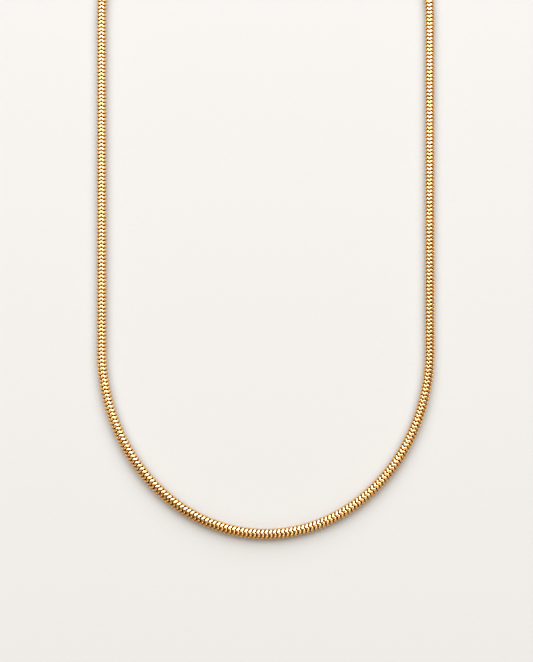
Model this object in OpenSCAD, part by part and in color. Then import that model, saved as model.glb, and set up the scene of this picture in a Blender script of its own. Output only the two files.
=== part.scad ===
// Round snake chain necklace, closed in a loop and lying flat.
// The front bow is at -Y, the clasp at +Y, and the surface it lies on is Z = 0.

/* [Loop] */
// Spacing of the two straight strands, centre to centre
strand_gap = 83.7; // [60:0.1:110]
// Length of each straight strand
strand_len = 84.7; // [40:0.1:140]
// Depth of the front bow, from the strands to the lowest point of its centreline
bow_depth = 46.9; // [35:0.1:70]
// Depth of the closing curve, from the strands to the line of the clasp
back_depth = 43.7; // [30:0.1:70]

/* [Chain] */
// Diameter of the round chain
chain_d = 2.4; // [1.6:0.1:3.2]
// Straight stretch of chain outside each end cap
lead_len = 1; // [0.5:0.1:4]
// Distance over which the chain rises from the surface to its end cap
rise_len = 14; // [8:0.5:24]

/* [End caps] */
// Depth to which the end of the chain sits in its cap
cap_depth = 3.2; // [2:0.1:5]
// Wall of each cap round the chain
cap_wall = 0.3; // [0.2:0.05:0.6]
// Clearance between the chain and its cap, all round and at the bottom
cap_fit = 0.1; // [0.05:0.05:0.2]
// Length of the closed nose of each cap
nose_len = 1.6; // [1:0.1:3]
// Thickness of the round wire of each eye
eye_wire = 0.7; // [0.5:0.05:1]

/* [Clasp hook] */
// Thickness of the wire of the hook
hook_wire = 1.1; // [0.8:0.05:1.4]
// Inside width of each of its two loops
hook_loop = 3.1; // [2.6:0.1:4.5]
// Turn of each loop, in degrees
hook_turn = 285; // [250:1:290]
// Diameter of the ball at each tip
hook_tip = 1.35; // [1.2:0.05:1.6]
// Slack of the hook's wire in an eye, all round, when it is centred there
eye_slack = 0.35; // [0.2:0.05:0.5]
// Clearance left between the wire and the eye that it pulls on
hook_gap = 0.1; // [0.05:0.05:0.15]

/* [Hidden] */
$fn = 48;
gold = [0.83, 0.62, 0.32];

// Tube that has the chain's outer form: eight flats, one of them on the surface
tube_sides = 8;
chain_r = chain_d / 2;
corner_r = chain_r / cos(180 / tube_sides);
strand_step = 2.8 * chain_d;
curve_step = 2.4 * chain_d;

// End caps, on an axis that carries the larger of cap and eye clear of the surface
bore_r = corner_r + cap_fit;
cap_r = bore_r + cap_wall;
cap_edge = cap_wall / 2;
nose_tip_r = eye_wire * 0.75;
eye_hole_r = hook_wire / 2 + eye_slack;
eye_r = eye_hole_r + eye_wire / 2;
axis_z = max(cap_r, eye_r + eye_wire / 2);

// Hook, pulled towards the middle of each eye's far side and down
hook_r = (hook_loop + hook_wire) / 2;
hook_shift = (eye_slack - hook_gap) * cos(45);
hook_z = axis_z - hook_shift;

// Stations from the middle of the clasp outwards, along X
eye_x = 2 * hook_r + hook_shift;
nose_x = eye_x + eye_r;
shoulder_x = nose_x + nose_len;
mouth_x = shoulder_x + cap_depth;
chain_end_x = shoulder_x + cap_fit;
back_x = mouth_x + lead_len;

// Semi-axes of the front bow and of each half of the closing curve
side_x = strand_gap / 2;
back_half = side_x - back_x;

// The box round the part has its middle at X = 0, Y = 0
clasp_y = strand_len + back_depth;
tip_half = hook_r * abs(sin(hook_turn)) + hook_tip / 2;
clasp_half = max(hook_r + hook_wire / 2, tip_half, cap_r);
mid_y = (clasp_y + clasp_half - bow_depth - chain_r) / 2;

// Length of a quarter of an ellipse, and the steps that a length is divided into
function quarter_len(a, b) = 90 * sqrt((a * a + b * b) / 2) * PI / 180;
function steps(len, step) = ceil(len / step);

// How far the chain has risen at a distance from the clasp's middle
function smooth(t) = t * t * (3 - 2 * t);
function rise(x) = (axis_z - chain_r) * smooth(1 - min(max(x - mouth_x, 0) / rise_len, 1));

// One side of the route, from its end in the cap to the side of the bow
n_back = steps(quarter_len(back_half, back_depth), curve_step);
n_strand = steps(strand_len, strand_step);
n_bow = 2 * steps(quarter_len(side_x, bow_depth), curve_step);
cap_points = [for (x = [chain_end_x, mouth_x]) [x, clasp_y]];
back_points = [
    for (i = [0 : n_back])
    let (a = 90 * i / n_back)
    [back_x + back_half * sin(a), strand_len + back_depth * cos(a)]
];
strand_points = [for (i = [1 : n_strand - 1]) [side_x, strand_len * (1 - i / n_strand)]];
half_route = concat(cap_points, back_points, strand_points);
bow_points = [
    for (i = [0 : n_bow])
    let (a = 180 * i / n_bow)
    [side_x * cos(a), -bow_depth * sin(a)]
];

// Whole route seen from above: right half, bow, then the left half back to the clasp
last = len(half_route) - 1;
left_half = [for (i = [last : -1 : 0]) [-half_route[i].x, half_route[i].y]];
plan = concat(half_route, bow_points, left_half);
route = [
    for (p = plan)
    [p.x, p.y - mid_y, chain_r + (p.y > strand_len ? rise(abs(p.x)) : 0)]
];

// Direction of the route at a point, seen from above
function heading(i) =
    let (
        before = route[max(i - 1, 0)],
        after = route[min(i + 1, len(route) - 1)]
    )
    atan2(after.y - before.y, after.x - before.x);

// A ring of the tube, upright across the route
function ring(i) = [
    for (k = [0 : tube_sides - 1])
    let (
        a = 360 * (k + 0.5) / tube_sides,
        out = corner_r * cos(a),
        side = heading(i) - 90
    )
    route[i] + [out * cos(side), out * sin(side), corner_r * sin(a)]
];

module chain() {
    rings = len(route);
    points = [for (i = [0 : rings - 1]) each ring(i)];
    walls = [
        for (i = [0 : rings - 2])
        for (k = [0 : tube_sides - 1])
        let (
            next = (k + 1) % tube_sides,
            a = i * tube_sides,
            b = a + tube_sides
        )
        [a + k, b + k, b + next, a + next]
    ];
    first_end = [for (k = [0 : tube_sides - 1]) k];
    last_end = [for (k = [tube_sides - 1 : -1 : 0]) (rings - 1) * tube_sides + k];
    color(gold) polyhedron(points, concat(walls, [first_end], [last_end]));
}

// Cap with its mouth at Z = 0 and its nose pointing along +Z, with the eye across its nose
module end_cap() {
    outline = concat(
        [[0, 0], [cap_r - cap_edge, 0], [cap_r, cap_edge], [cap_r, cap_depth]],
        [
            for (a = [15 : 15 : 90])
            [nose_tip_r + (cap_r - nose_tip_r) * cos(a), cap_depth + nose_len * sin(a)]
        ],
        [[0, cap_depth + nose_len]]
    );
    difference() {
        union() {
            rotate_extrude() polygon(outline);
            translate([0, 0, cap_depth + nose_len + eye_r])
                rotate([90, 0, 0])
                rotate_extrude() translate([eye_r, 0]) circle(d = eye_wire, $fn = 24);
        }
        translate([0, 0, -cap_depth]) cylinder(h = 2 * cap_depth, r = bore_r);
    }
}

module end_cap_left() {
    color(gold)
        translate([-mouth_x, clasp_y - mid_y, axis_z])
        rotate([0, 90, 0])
        end_cap();
}

module end_cap_right() {
    color(gold)
        translate([mouth_x, clasp_y - mid_y, axis_z])
        rotate([0, -90, 0])
        end_cap();
}

// One loop of the hook, from the middle of the S round to the ball at its tip
module hook_half() {
    translate([-hook_r, 0, 0]) {
        rotate_extrude(angle = hook_turn)
            translate([hook_r, 0]) circle(d = hook_wire, $fn = 24);
        rotate([0, 0, hook_turn]) translate([hook_r, 0, 0]) sphere(d = hook_tip);
    }
}

module clasp_hook() {
    color(gold)
        translate([0, clasp_y - mid_y, hook_z]) {
            hook_half();
            rotate([0, 0, 180]) hook_half();
        }
}

chain();
end_cap_left();
end_cap_right();
clasp_hook();
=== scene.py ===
import math

import bpy
import numpy as np
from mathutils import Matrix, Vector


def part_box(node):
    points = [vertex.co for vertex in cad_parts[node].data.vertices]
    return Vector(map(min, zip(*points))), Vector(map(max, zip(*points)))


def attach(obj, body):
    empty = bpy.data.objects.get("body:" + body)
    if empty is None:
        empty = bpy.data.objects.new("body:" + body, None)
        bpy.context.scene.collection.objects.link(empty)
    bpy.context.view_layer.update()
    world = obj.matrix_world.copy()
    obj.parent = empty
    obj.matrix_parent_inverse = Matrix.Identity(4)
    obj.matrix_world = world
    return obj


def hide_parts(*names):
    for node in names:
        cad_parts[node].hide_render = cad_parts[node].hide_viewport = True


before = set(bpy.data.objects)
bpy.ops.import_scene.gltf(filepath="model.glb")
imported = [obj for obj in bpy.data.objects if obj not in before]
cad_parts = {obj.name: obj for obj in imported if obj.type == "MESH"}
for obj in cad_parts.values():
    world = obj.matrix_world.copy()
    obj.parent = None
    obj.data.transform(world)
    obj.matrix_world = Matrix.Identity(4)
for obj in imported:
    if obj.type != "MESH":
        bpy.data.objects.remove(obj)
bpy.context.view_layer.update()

scene = bpy.context.scene
scene.view_settings.view_transform = "Standard"
scene.view_settings.look = "None"


# Curves

def smooth(t):
    t = np.clip(t, 0, 1)
    return t * t * (3 - 2 * t)


def ellipsePoint(centre, halfWidth, halfDepth, degrees):
    angle = math.radians(degrees)
    return (centre[0] + halfWidth * math.cos(angle), centre[1] + halfDepth * math.sin(angle))


# Camera, straight above the chain as in the photo

view = {
    "metresPerPixel": 0.000255,
    "imageHeight": 662,            # pixels
    "imageCentre": (0.0002, -0.036675),
    "focusHeight": 0.0012,         # the scale holds at the middle of the chain's thickness
    "lens": 100,                   # mm
    "sensor": 36,                  # mm, along the image's height
    "clip": (0.01, 20),
}

viewHeight = view["imageHeight"] * view["metresPerPixel"]
cameraData = bpy.data.cameras.new("overheadCamera")
cameraData.lens = view["lens"]
cameraData.sensor_fit = "VERTICAL"
cameraData.sensor_height = view["sensor"]
cameraData.clip_start, cameraData.clip_end = view["clip"]
camera = bpy.data.objects.new("overheadCamera", cameraData)
scene.collection.objects.link(camera)
camera.location = (
    view["imageCentre"][0],
    view["imageCentre"][1],
    view["focusHeight"] + viewHeight * view["lens"] / view["sensor"],
)
scene.camera = camera
print("camera placed", tuple(round(v, 4) for v in camera.location))


# Materials

def newMaterial(name):
    material = bpy.data.materials.new(name)
    material.use_nodes = True
    nodes = material.node_tree.nodes
    shader = nodes["Principled BSDF"]
    return material, nodes, material.node_tree.links, shader


def addNoise(nodes, links, coords, scale, detail=3, roughness=0.5):
    noise = nodes.new("ShaderNodeTexNoise")
    noise.inputs["Scale"].default_value = scale
    noise.inputs["Detail"].default_value = detail
    noise.inputs["Roughness"].default_value = roughness
    links.new(coords, noise.inputs["Vector"])
    return noise.outputs["Fac"]


def addRange(nodes, links, value, fromLow, fromHigh, toLow, toHigh):
    span = nodes.new("ShaderNodeMapRange")
    span.inputs["From Min"].default_value = fromLow
    span.inputs["From Max"].default_value = fromHigh
    span.inputs["To Min"].default_value = toLow
    span.inputs["To Max"].default_value = toHigh
    links.new(value, span.inputs["Value"])
    return span.outputs["Result"]


def addMath(nodes, links, operation, first, second):
    node = nodes.new("ShaderNodeMath")
    node.operation = operation
    links.new(first, node.inputs[0])
    links.new(second, node.inputs[1])
    return node.outputs["Value"]


def addMix(nodes, links, share, first, second):
    mix = nodes.new("ShaderNodeMix")
    mix.data_type = "RGBA"
    links.new(share, mix.inputs["Factor"])
    # the node's colour sockets are 6 and 7, and its colour result is 2
    for socket, colour in ((mix.inputs[6], first), (mix.inputs[7], second)):
        if isinstance(colour, tuple):
            socket.default_value = (*colour, 1)
        else:
            links.new(colour, socket)
    return mix.outputs[2]


def addBump(nodes, links, height, distance, strength):
    bump = nodes.new("ShaderNodeBump")
    bump.inputs["Distance"].default_value = distance
    bump.inputs["Strength"].default_value = strength
    links.new(height, bump.inputs["Height"])
    return bump.outputs["Normal"]


def objectCoords(nodes):
    return nodes.new("ShaderNodeTexCoord").outputs["Object"]


goldFinish = {
    "colour": (0.95, 0.64, 0.30),
    "warmColour": (0.92, 0.56, 0.23),      # worn stretches, a little redder
    "shadeAndTarnishColour": (0.15, 0.065, 0.018),  # painted shade and tarnish at the bottom of the grooves, and in the crevices of caps and hook
    "shadeAndTarnishStart": 0.03,                   # share of a groove's depth at which the painted shade and tarnish begin
    "shadeAndTarnishFull": 0.4,
    "edgeColour": (1, 0.72, 0.4),          # tint where the metal is seen at a low angle
    "shadeAndTarnishShare": 0.9,
    "wornShare": 0.7,                      # most that the warmer colour covers
    "creviceShadeAndTarnish": (0.5, 0.42),                # pointiness from clean metal to a full crevice, caps and hook; the crevices get painted shade and tarnish
    "creviceShadeAndTarnishShare": 0.7,
    "roughness": (0.04, 0.10),
    "grooveRoughness": 0.25,               # added at the bottom of the grooves
    "castRoughness": (0.12, 0.24),         # caps and hook, less polished than the links
    "rubbedRoughness": 0.08,               # added where caps and hook are rubbed
    "grainScale": 5200,
    "grainDepth": 0.000004,
    "grainStrength": 0.5,
    "swirlScale": 900,
}


def startGold(name):
    material, nodes, links, shader = newMaterial(name)
    coords = objectCoords(nodes)
    shader.inputs["Metallic"].default_value = 1
    shader.inputs["Specular Tint"].default_value = (*goldFinish["edgeColour"], 1)
    patches = addNoise(nodes, links, coords, goldFinish["swirlScale"], detail=4)
    grain = addNoise(nodes, links, coords, goldFinish["grainScale"], detail=5, roughness=0.6)
    bump = addBump(nodes, links, grain, goldFinish["grainDepth"], goldFinish["grainStrength"])
    links.new(bump, shader.inputs["Normal"])
    return material, nodes, links, shader, patches, grain


def colourGold(nodes, links, shader, worn, shadeAndTarnishMask):
    gold = addMix(nodes, links, worn, goldFinish["colour"], goldFinish["warmColour"])
    # mixes in the painted shade and tarnish colour where the mask asks for it
    shadedAndTarnished = addMix(nodes, links, shadeAndTarnishMask, gold, goldFinish["shadeAndTarnishColour"])
    links.new(shadedAndTarnished, shader.inputs["Base Color"])


def linkGold():
    material, nodes, links, shader, patches, grain = startGold("linkGold")
    groove = nodes.new("ShaderNodeAttribute")
    groove.attribute_name = "groove"
    tone = nodes.new("ShaderNodeAttribute")
    tone.attribute_name = "linkTone"

    warmth = addMath(nodes, links, "MULTIPLY", patches, tone.outputs["Fac"])
    worn = addRange(nodes, links, warmth, 0.1, 0.6, 0, goldFinish["wornShare"])
    # painted shade and tarnish, darker towards the bottom of the grooves between the bands
    shadeAndTarnishMask = addRange(nodes, links, groove.outputs["Fac"],
                       goldFinish["shadeAndTarnishStart"], goldFinish["shadeAndTarnishFull"], 0, goldFinish["shadeAndTarnishShare"])
    colourGold(nodes, links, shader, worn, shadeAndTarnishMask)

    rough = addRange(nodes, links, grain, 0.3, 0.7, *goldFinish["roughness"])
    dull = addRange(nodes, links, groove.outputs["Fac"], 0.3, 1, 0, goldFinish["grooveRoughness"])
    links.new(addMath(nodes, links, "ADD", rough, dull), shader.inputs["Roughness"])
    return material


def castGold(name):
    material, nodes, links, shader, patches, grain = startGold(name)
    pointiness = nodes.new("ShaderNodeNewGeometry").outputs["Pointiness"]
    worn = addRange(nodes, links, patches, 0.3, 0.7, 0, goldFinish["wornShare"])
    # painted shade and tarnish in the crevices of caps and hook, found by pointiness
    creviceShadeAndTarnish = addRange(nodes, links, pointiness, *goldFinish["creviceShadeAndTarnish"], 0, goldFinish["creviceShadeAndTarnishShare"])
    colourGold(nodes, links, shader, worn, creviceShadeAndTarnish)

    rough = addRange(nodes, links, grain, 0.3, 0.7, *goldFinish["castRoughness"])
    rubbed = addRange(nodes, links, patches, 0.35, 0.65, 0, goldFinish["rubbedRoughness"])
    links.new(addMath(nodes, links, "ADD", rough, rubbed), shader.inputs["Roughness"])
    return material


# Surface that the chain lies on

surface = {
    "size": 3.0,
    "colour": (0.364, 0.369, 0.372),
    "shadeColour": (0.357, 0.362, 0.365),
    "roughness": 0.9,
    "specular": 0.1,
    "grainScale": 1400,
    "grainDepth": 0.00002,
    "grainStrength": 0.3,
}


def surfacePaper():
    material, nodes, links, shader = newMaterial("surfacePaper")
    coords = objectCoords(nodes)
    shader.inputs["Roughness"].default_value = surface["roughness"]
    shader.inputs["Specular IOR Level"].default_value = surface["specular"]
    fibre = addNoise(nodes, links, coords, surface["grainScale"], detail=6, roughness=0.7)
    share = addRange(nodes, links, fibre, 0.35, 0.65, 0, 1)
    colour = addMix(nodes, links, share, surface["colour"], surface["shadeColour"])
    links.new(colour, shader.inputs["Base Color"])
    bump = addBump(nodes, links, fibre, surface["grainDepth"], surface["grainStrength"])
    links.new(bump, shader.inputs["Normal"])
    return material


half = surface["size"] / 2
floorMesh = bpy.data.meshes.new("surfaceSheet")
floorCorners = [(-half, -half, 0), (half, -half, 0), (half, half, 0), (-half, half, 0)]
floorMesh.from_pydata(floorCorners, [], [(0, 1, 2, 3)])
floorMesh.materials.append(surfacePaper())
floor = bpy.data.objects.new("surfaceSheet", floorMesh)
scene.collection.objects.link(floor)


# Lights

softbox = {
    "height": 1.5,              # metres above the surface, level
    "across": (-2.0, 2.0),      # from side to side
    "along": (0.45, 6.5),       # from front to back, over the back of the loop
    "radiance": 6.5,
    "colour": (0.97, 0.985, 1),
}
sideSoftbox = {                 # one to the left and one to the right of the camera
    "height": 1.5,
    "across": (0.5, 1.5),
    "along": (-0.15, 0.35),
    "radiance": 4.0,
    "colour": (0.97, 0.985, 1),
}
frontBounce = {                 # warmer, dimmer light from the front
    "height": 1.5,
    "across": (-0.7, 0.7),
    "along": (-5.0, -0.9),
    "radiance": 2.6,
    "colour": (1, 0.85, 0.68),
}
roomColour = (0.38, 0.275, 0.17)   # dim light from all round


def addSoftLight(name, light, side=1):
    left, right = light["across"]
    front, back = light["along"]
    data = bpy.data.lights.new(name, "AREA")
    data.shape = "RECTANGLE"
    data.size = right - left
    data.size_y = back - front
    data.color = light["colour"]
    data.energy = light["radiance"] * math.pi * data.size * data.size_y
    lamp = bpy.data.objects.new(name, data)
    lamp.location = (side * (left + right) / 2, (front + back) / 2, light["height"])
    scene.collection.objects.link(lamp)


addSoftLight("softbox", softbox)
addSoftLight("leftSoftbox", sideSoftbox, side=-1)
addSoftLight("rightSoftbox", sideSoftbox)
addSoftLight("frontBounce", frontBounce)

world = bpy.data.worlds.new("room")
world.use_nodes = True
world.node_tree.nodes["Background"].inputs["Color"].default_value = (*roomColour, 1)
scene.world = world
print("surface and lights ready")


# Path of the chain, in metres, the same loop as the solid tube

loop = {
    "strandLength": 0.0847,
    "bowDepth": 0.0469,
    "backDepth": 0.0437,
    "chainDiameter": 0.0024,
    "leadLength": 0.001,       # straight stretch outside each cap
    "riseLength": 0.014,       # over which the chain climbs to its cap
    "seatDepth": 0.0031,       # how far the chain runs into a cap
}

chainLow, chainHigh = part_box("chain")
capLow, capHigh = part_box("end_cap_right")
chainRadius = loop["chainDiameter"] / 2
sideX = chainHigh[0] - chainRadius
bowStartY = chainLow[1] + chainRadius + loop["bowDepth"]
strandEndY = bowStartY + loop["strandLength"]
claspY = strandEndY + loop["backDepth"]
claspZ = (capLow[2] + capHigh[2]) / 2
mouthX = capHigh[0]
backX = mouthX + loop["leadLength"]


def sideOfLoop(sign, steps=400):
    # from the end in a cap, round the back and down the strand to the bow
    points = [(sign * (mouthX - loop["seatDepth"]), claspY), (sign * mouthX, claspY)]
    for i in range(steps + 1):
        x, y = ellipsePoint((backX, strandEndY), sideX - backX, loop["backDepth"], 90 - 90 * i / steps)
        points.append((sign * x, y))
    return points


def bowOfLoop(steps=1200):
    degrees = [180 + 180 * i / steps for i in range(steps + 1)]
    return [ellipsePoint((0, bowStartY), sideX, loop["bowDepth"], d) for d in degrees]


route = np.array(sideOfLoop(-1) + bowOfLoop() + sideOfLoop(1)[::-1])
stretch = np.hypot(*np.diff(route, axis=0).T)
distance = np.concatenate([[0], np.cumsum(stretch)])
chainLength = distance[-1]


def routeAt(s):
    return np.column_stack([np.interp(s, distance, route[:, axis]) for axis in (0, 1)])


def climbAt(points):
    # 0 where the chain lies on the surface, 1 at the height of the clasp
    away = np.abs(points[:, 0]) - mouthX
    climb = 1 - smooth(away / loop["riseLength"])
    return np.where(points[:, 1] > strandEndY, climb, 0)


print("chain length", round(chainLength * 1000, 1), "mm")


# Links

linkShape = {
    "pitch": 0.0009486,        # from link to link along a strand
    "waves": 5,                # zigzag waves round a link
    "zigzag": 0.00035,         # from the trough of a wave to its crest
    "softCorner": 0.2,         # 0 leaves the zigzag's corners sharp, 1 makes it a sine
    "gap": 0.00014,            # between neighbouring bands, along the flanks of the zigzag
    "pinch": 0.5,              # share of its width that a band loses at the corners
    "cornerReach": 4,          # larger keeps the pinch closer to the corners
    "bulge": 0.00055,          # how far the middle of a band stands above its edges
    "crown": 4.4,              # 2 for a round crown, larger for a flatter one with steeper shoulders
    "faceWidth": 0.00244,      # across two opposite corners of the chain
    "flatness": 0.9,           # 0 for a round section, 1 for flat flanks
    "lip": 0.00004,            # thickness of a band at its edges
    "play": 0.00002,           # between a band and the sleeve under it
    "wall": 0.0001,            # of the sleeve
    "sleeve": 0.00036,         # how far a link's sleeve reaches into the next
    "arcSteps": 8,             # across a band
    "segments": 60,            # round a link
    "sharpAngle": 50,          # degrees, shaded as an edge above this
    "tone": (0.3, 1),          # how warm the links are, least and most
}
linkLay = {                    # pairs: metres along the chain from the bottom of the bow, value there
    "spacing": ((-0.11, 1), (-0.07, 1.04), (-0.035, 1.06), (-0.015, 1.11), (0.015, 1.11), (0.035, 1.06),
                (0.07, 1.04), (0.11, 1)),
    "girth": ((-0.14, 1), (-0.07, 1.06), (-0.04, 1.13), (0.04, 1.13), (0.07, 1.05), (0.11, 1)),
    "turn": ((-0.07, 1), (-0.035, 10), (-0.015, 18), (0.06, 19), (0.12, 12)),   # degrees round the chain
    "restless": 0.6,           # degrees of uneven turn
    "seed": 7,
}
fullTurn = np.linspace(0, 2 * np.pi, 721)


def layAt(name, s):
    places, values = zip(*linkLay[name])
    return np.interp(s - chainLength / 2, places, values)


def zigzagWave(angle):
    # sharp triangle wave mixed with a sine, from -1 on top of the chain to 1
    wave = (angle - np.pi / 2) * linkShape["waves"] / (2 * np.pi)
    triangle = 4 * np.abs(wave - np.floor(wave + 0.5)) - 1
    sine = -np.cos(2 * np.pi * wave)
    return triangle * (1 - linkShape["softCorner"]) + sine * linkShape["softCorner"]


def faceRadius(angle):
    # a circle mixed with a polygon that has one flat for each flank of the zigzag
    flank = np.pi / linkShape["waves"]
    fromMiddle = (angle - np.pi / 2) % flank - flank / 2
    flat = math.cos(flank / 2) / np.cos(fromMiddle)
    return linkShape["faceWidth"] / 2 * (1 + linkShape["flatness"] * (flat - 1))


def cornerAt(angle):
    return np.abs(zigzagWave(angle)) ** linkShape["cornerReach"]


def bandShare(angle):
    # a band of even width takes less room along the chain at its corners than on its flanks
    steepness = linkShape["zigzag"] / linkShape["faceWidth"]
    room = np.sqrt(1 + (np.gradient(zigzagWave(fullTurn), fullTurn) * steepness) ** 2)
    return np.interp(angle, fullTurn, room / room.max()) * (1 - linkShape["pinch"] * cornerAt(angle))


def bandSection():
    # closed outline of a link cut along the chain: (along, below the outer face, groove share)
    halfBand = (linkShape["pitch"] - linkShape["gap"]) / 2
    bulge, steps = linkShape["bulge"], linkShape["arcSteps"]
    under = bulge + linkShape["lip"]
    sleeveTop = under + linkShape["play"]
    sleeveEnd = halfBand + linkShape["sleeve"]
    inside = sleeveTop + linkShape["wall"]
    stepBack = -halfBand + linkShape["sleeve"] + linkShape["play"]   # clears the sleeve of the link before
    section = []
    power = linkShape["crown"]
    for i in range(steps + 1):
        t = math.sin(math.pi * (i / steps - 0.5))
        drop = 1 - max(1 - abs(t) ** power, 0) ** (1 / power)
        section.append((halfBand * t, bulge * drop, drop))
    for along, below in ((halfBand, sleeveTop), (sleeveEnd, sleeveTop), (sleeveEnd, inside),
                         (stepBack + 2 * linkShape["play"], inside), (stepBack, under), (-halfBand, under)):
        section.append((along, below, 1))
    return np.array(section)


def oneLink():
    # each point of a link: along the chain, distance from its middle, angle round it, groove share
    section = bandSection()
    turns = np.arange(linkShape["segments"]) * 2 * np.pi / linkShape["segments"]
    halfBand = section[linkShape["arcSteps"], 0]
    band = np.abs(section[:, 0]) <= halfBand
    share = np.where(band[None, :], bandShare(turns)[:, None], 1)
    along = section[:, 0][None, :] * share + linkShape["zigzag"] / 2 * zigzagWave(turns)[:, None]
    reach = faceRadius(turns)[:, None] - section[:, 1][None, :]
    angle = np.repeat(turns[:, None], len(section), axis=1)
    groove = np.repeat(section[:, 2][None, :], len(turns), axis=0)
    return along.ravel(), reach.ravel(), angle.ravel(), groove.ravel()


def linkFaces():
    count = len(bandSection())
    ring = np.arange(linkShape["segments"])
    nextRing = (ring + 1) % linkShape["segments"]
    point = np.arange(count)
    nextPoint = (point + 1) % count
    a = ring[:, None] * count + point[None, :]
    b = ring[:, None] * count + nextPoint[None, :]
    c = nextRing[:, None] * count + nextPoint[None, :]
    d = nextRing[:, None] * count + point[None, :]
    return np.stack([a, b, c, d], axis=-1).reshape(-1, 4)


def linkStations():
    stations = []
    s = linkShape["pitch"] / 2
    while s < chainLength - linkShape["pitch"] / 2:
        stations.append(s)
        s += linkShape["pitch"] * layAt("spacing", s)
    return np.array(stations)


def liftOver(turn):
    # height of a link's middle above the surface when it is turned
    return -np.min(faceRadius(fullTurn) * np.sin(fullTurn + turn))


def buildLinks(name, stations, material, rng):
    along, reach, angle, groove = oneLink()
    faces = linkFaces()
    spacing, girth = layAt("spacing", stations), layAt("girth", stations)
    turn = np.radians(layAt("turn", stations) + rng.normal(0, linkLay["restless"], len(stations)))

    centre = routeAt(stations)
    reachOut = 0.0004   # metres along the chain to either side, for its direction
    before, after = routeAt(stations - reachOut), routeAt(stations + reachOut)
    ahead = after - before
    ahead /= np.linalg.norm(ahead, axis=1)[:, None]
    climb = climbAt(centre)
    slope = (climbAt(after) - climbAt(before)) / (2 * reachOut)
    lowest = np.array([liftOver(t) for t in turn]) * girth
    height = lowest + climb * (claspZ - lowest)
    rise = slope * (claspZ - lowest)

    forward = np.column_stack([ahead, rise])
    forward /= np.linalg.norm(forward, axis=1)[:, None]
    side = np.column_stack([ahead[:, 1], -ahead[:, 0], np.zeros(len(stations))])
    up = np.cross(side, forward)

    middle = np.column_stack([centre, height])
    around = (angle[None, :] + turn[:, None])[..., None]
    radius = reach[None, :, None] * girth[:, None, None]
    reachAhead = along[None, :, None] * spacing[:, None, None]
    points = (middle[:, None, :] + forward[:, None, :] * reachAhead
              + side[:, None, :] * (radius * np.cos(around)) + up[:, None, :] * (radius * np.sin(around)))
    count = len(along)
    quads = (faces[None, :, :] + (np.arange(len(stations)) * count)[:, None, None]).reshape(-1, 4)

    mesh = bpy.data.meshes.new(name)
    mesh.from_pydata(points.reshape(-1, 3).tolist(), [], quads.tolist())
    mesh.polygons.foreach_set("use_smooth", np.ones(len(quads), dtype=bool))
    mesh.set_sharp_from_angle(angle=math.radians(linkShape["sharpAngle"]))
    grooveLayer = mesh.attributes.new("groove", "FLOAT", "POINT")
    grooveLayer.data.foreach_set("value", np.tile(groove, len(stations)))
    toneLayer = mesh.attributes.new("linkTone", "FLOAT", "POINT")
    tones = rng.uniform(*linkShape["tone"], len(stations))
    toneLayer.data.foreach_set("value", np.repeat(tones, count))
    mesh.materials.append(material)
    mesh.update()
    piece = bpy.data.objects.new(name, mesh)
    scene.collection.objects.link(piece)
    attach(piece, "root")
    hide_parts("chain")
    print(name, len(stations), "links,", 2 * len(quads), "triangles")


linkMaterial = linkGold()
stations = linkStations()
rng = np.random.default_rng(linkLay["seed"])
pieceNames = ["linksBackLeft", "linksLeft", "linksBow", "linksRight", "linksBackRight"]
for pieceName, group in zip(pieceNames, np.array_split(stations, len(pieceNames))):
    buildLinks(pieceName, group, linkMaterial, rng)
print("links in all", len(stations))


# Clasp

castPieces = {"end_cap_left": "leftCapGold", "end_cap_right": "rightCapGold", "clasp_hook": "hookGold"}
for node, materialName in castPieces.items():
    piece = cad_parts[node]
    piece.data.materials.clear()
    piece.data.materials.append(castGold(materialName))
print("clasp finished")

bpy.context.view_layer.update()
